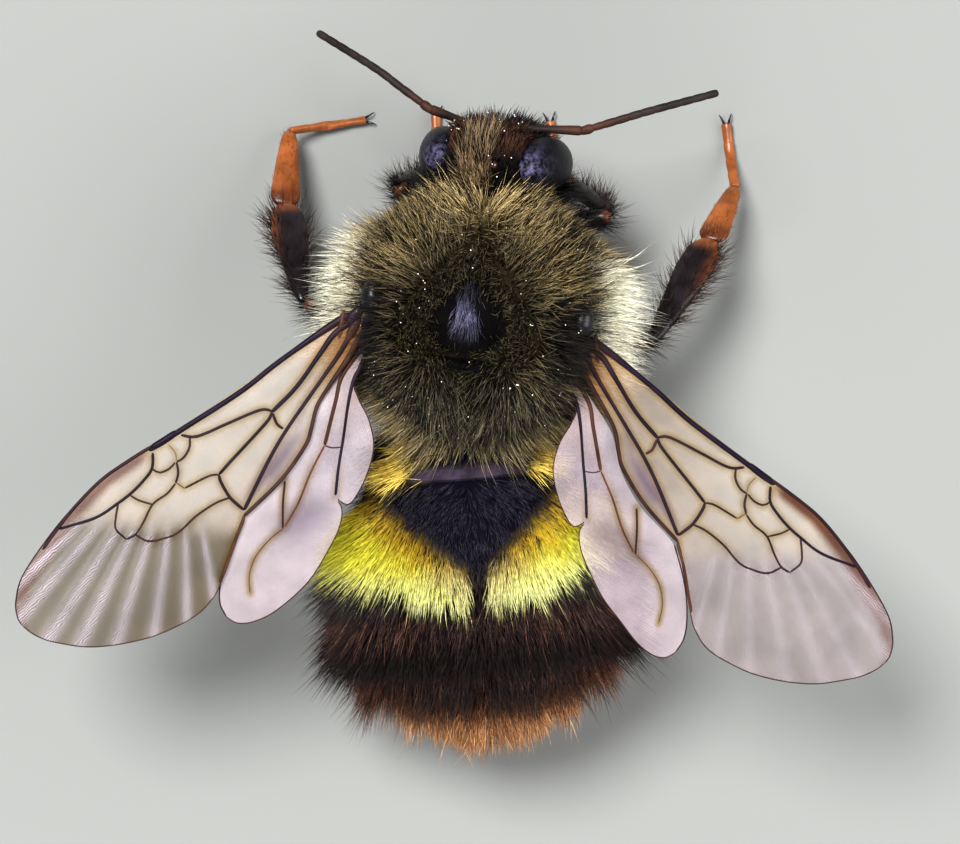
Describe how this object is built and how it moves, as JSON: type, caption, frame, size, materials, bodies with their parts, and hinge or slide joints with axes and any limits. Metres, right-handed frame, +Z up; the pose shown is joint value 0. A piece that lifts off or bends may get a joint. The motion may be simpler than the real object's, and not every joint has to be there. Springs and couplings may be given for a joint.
{
  "type": "bumblebee",
  "caption": "Still life-size bumblebee standing with spread wings: olive and black thorax, lemon, black and rust abdomen, clear veined wings, flat soles.",
  "frame": {"origin": "on the floor, under the middle of the whole animal with its wings and feelers", "axes": "+X towards the animal's left side, along the wing span; +Y towards the tail; +Z up"},
  "size_m": [0.0192, 0.0158, 0.0075],
  "materials": {
    "olive_coat": "olive and black pile",
    "head_coat": "dark pile with olive tufts",
    "yellow_coat": "lemon yellow pile",
    "black_coat": "black-brown pile",
    "rust_coat": "rust orange pile",
    "eye": "glossy faceted eye",
    "shell": "glossy dark shell",
    "feeler": "satin dark brown",
    "leg": "satin black-brown with hairs",
    "foot": "satin orange-brown",
    "tongue": "glossy red-brown",
    "wing": "clear membrane with dark veins"
  },
  "bodies": {
    "root": {"thorax": "olive_coat", "head": "head_coat", "eye_left": "eye", "eye_right": "eye", "mandible_left": "shell", "mandible_right": "shell", "proboscis": "tongue", "tegula_left": "shell", "tegula_right": "shell", "antenna_left_scape": "feeler", "antenna_left_flagellum": "feeler", "antenna_right_scape": "feeler", "antenna_right_flagellum": "feeler", "abdomen_1": "yellow_coat", "abdomen_2": "yellow_coat", "abdomen_3": "black_coat", "abdomen_4": "black_coat", "abdomen_5": "rust_coat", "abdomen_6": "rust_coat", "forewing_left": "wing", "forewing_right": "wing", "hindwing_left": "wing", "hindwing_right": "wing", "leg_front_left_femur": "leg", "leg_front_left_tibia": "leg", "leg_front_left_tarsus": "foot", "leg_front_right_femur": "leg", "leg_front_right_tibia": "leg", "leg_front_right_tarsus": "foot", "leg_middle_left_femur": "leg", "leg_middle_left_tibia": "leg", "leg_middle_left_tarsus": "foot", "leg_middle_right_femur": "leg", "leg_middle_right_tibia": "leg", "leg_middle_right_tarsus": "foot", "leg_hind_left_femur": "leg", "leg_hind_left_tibia": "leg", "leg_hind_left_tarsus": "foot", "leg_hind_right_femur": "leg", "leg_hind_right_tibia": "leg", "leg_hind_right_tarsus": "foot"}
  },
  "joints": []
}
